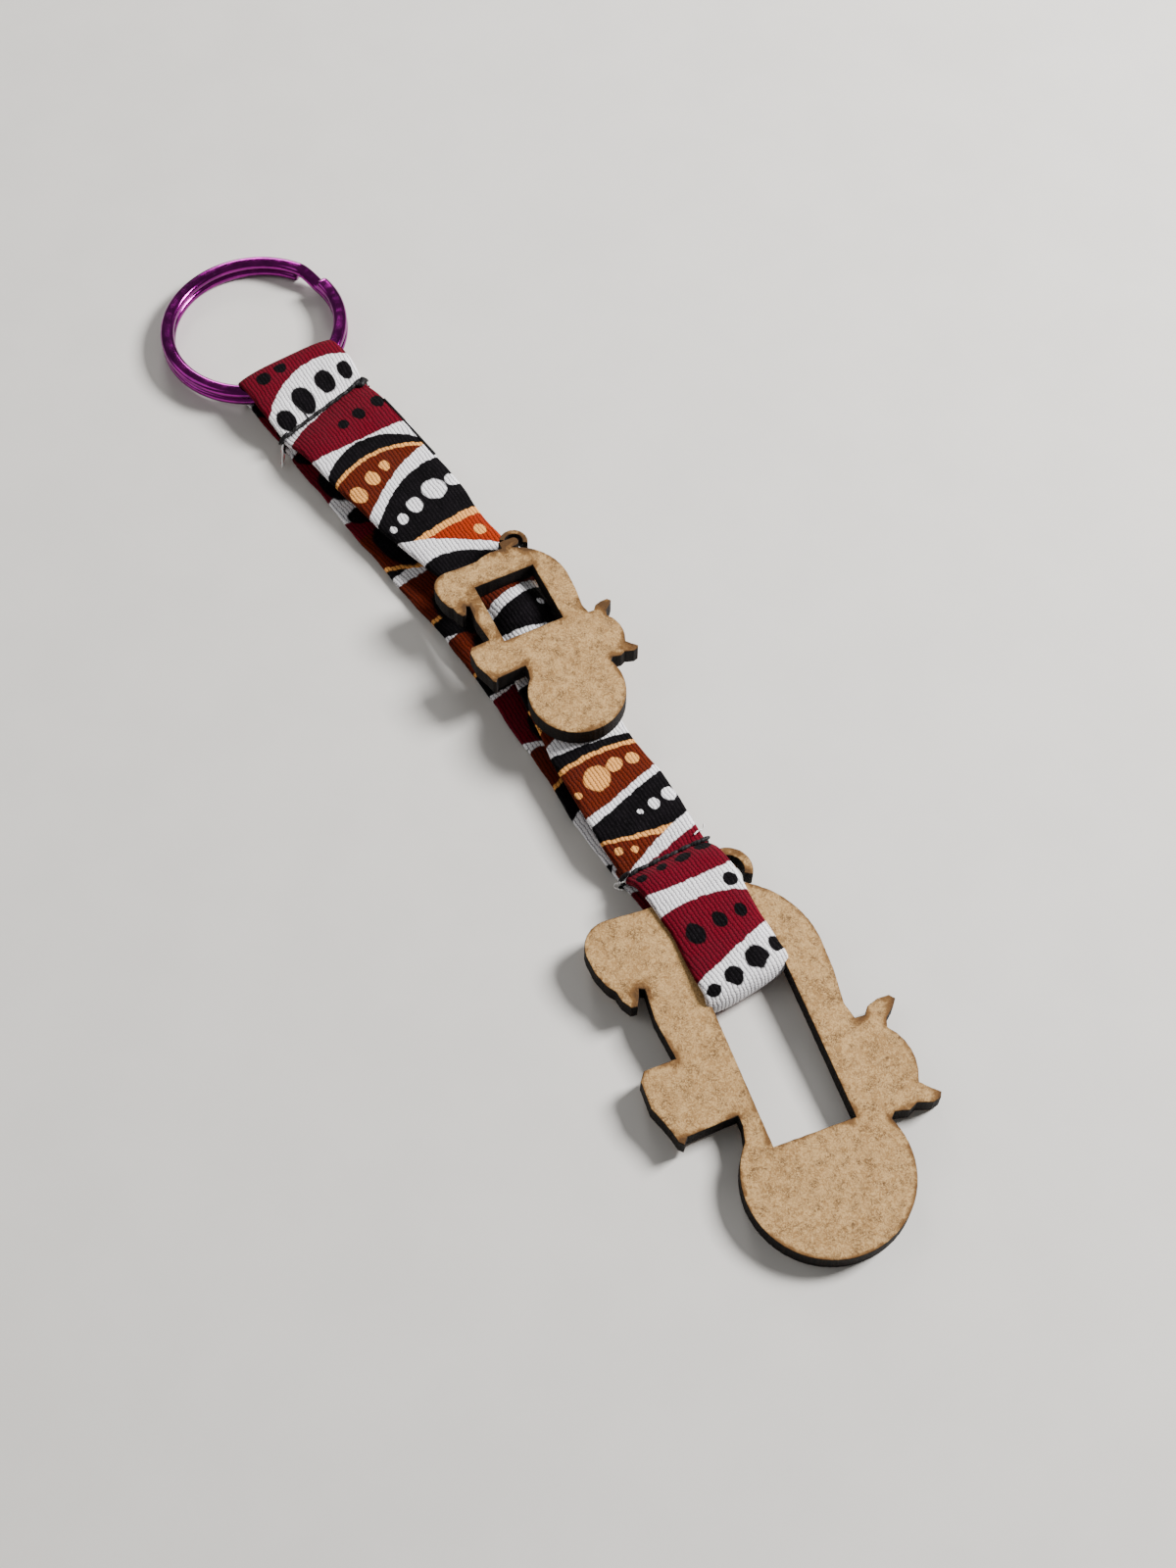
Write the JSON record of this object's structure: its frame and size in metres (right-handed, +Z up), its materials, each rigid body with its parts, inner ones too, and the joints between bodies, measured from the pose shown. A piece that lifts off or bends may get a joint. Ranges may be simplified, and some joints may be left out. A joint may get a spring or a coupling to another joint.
{
  "type": "keychain",
  "caption": "Keychain: a coloured split ring on a printed cotton strap with a sewn loop at each end, a small cut-out board charm glued on the strap and a large one hanging in its lower loop.",
  "frame": {"origin": "middle of the base of the whole keychain as it lies on a table", "axes": "+X along the strap from the ring to the large charm, +Z up through the strap's printed front"},
  "size_m": [0.1934, 0.0382, 0.0079],
  "materials": {
    "ring_metal": "glossy purple coating on spring steel",
    "printed_cotton": "plain woven cotton, printed in crimson, white, black, rust and cream",
    "black_thread": "black sewing thread",
    "fibreboard": "raw fibreboard with scorched cut edges",
    "craft_glue": "dried craft glue"
  },
  "bodies": {
    "strap": {"strap": "printed_cotton", "ring_loop": "printed_cotton", "charm_loop": "printed_cotton", "upper_seam": "black_thread", "lower_seam": "black_thread", "small_charm": "fibreboard", "glue_dabs": "craft_glue"},
    "ring": {"split_ring": "ring_metal"},
    "charm": {"large_charm": "fibreboard"}
  },
  "joints": [
    {"name": "ring_swing", "type": "hinge", "parent": "strap", "child": "ring", "pos_m": [-0.06926, 0.00187, 0.00264], "axis": [0, 1, 0], "range_deg": [-150, 150], "deforming": ["ring_loop"]},
    {"name": "charm_swing", "type": "hinge", "parent": "strap", "child": "charm", "pos_m": [0.04639, 0.0043, 0.00287], "axis": [0, -1, 0], "range_deg": [-150, 150], "deforming": ["charm_loop"]}
  ]
}
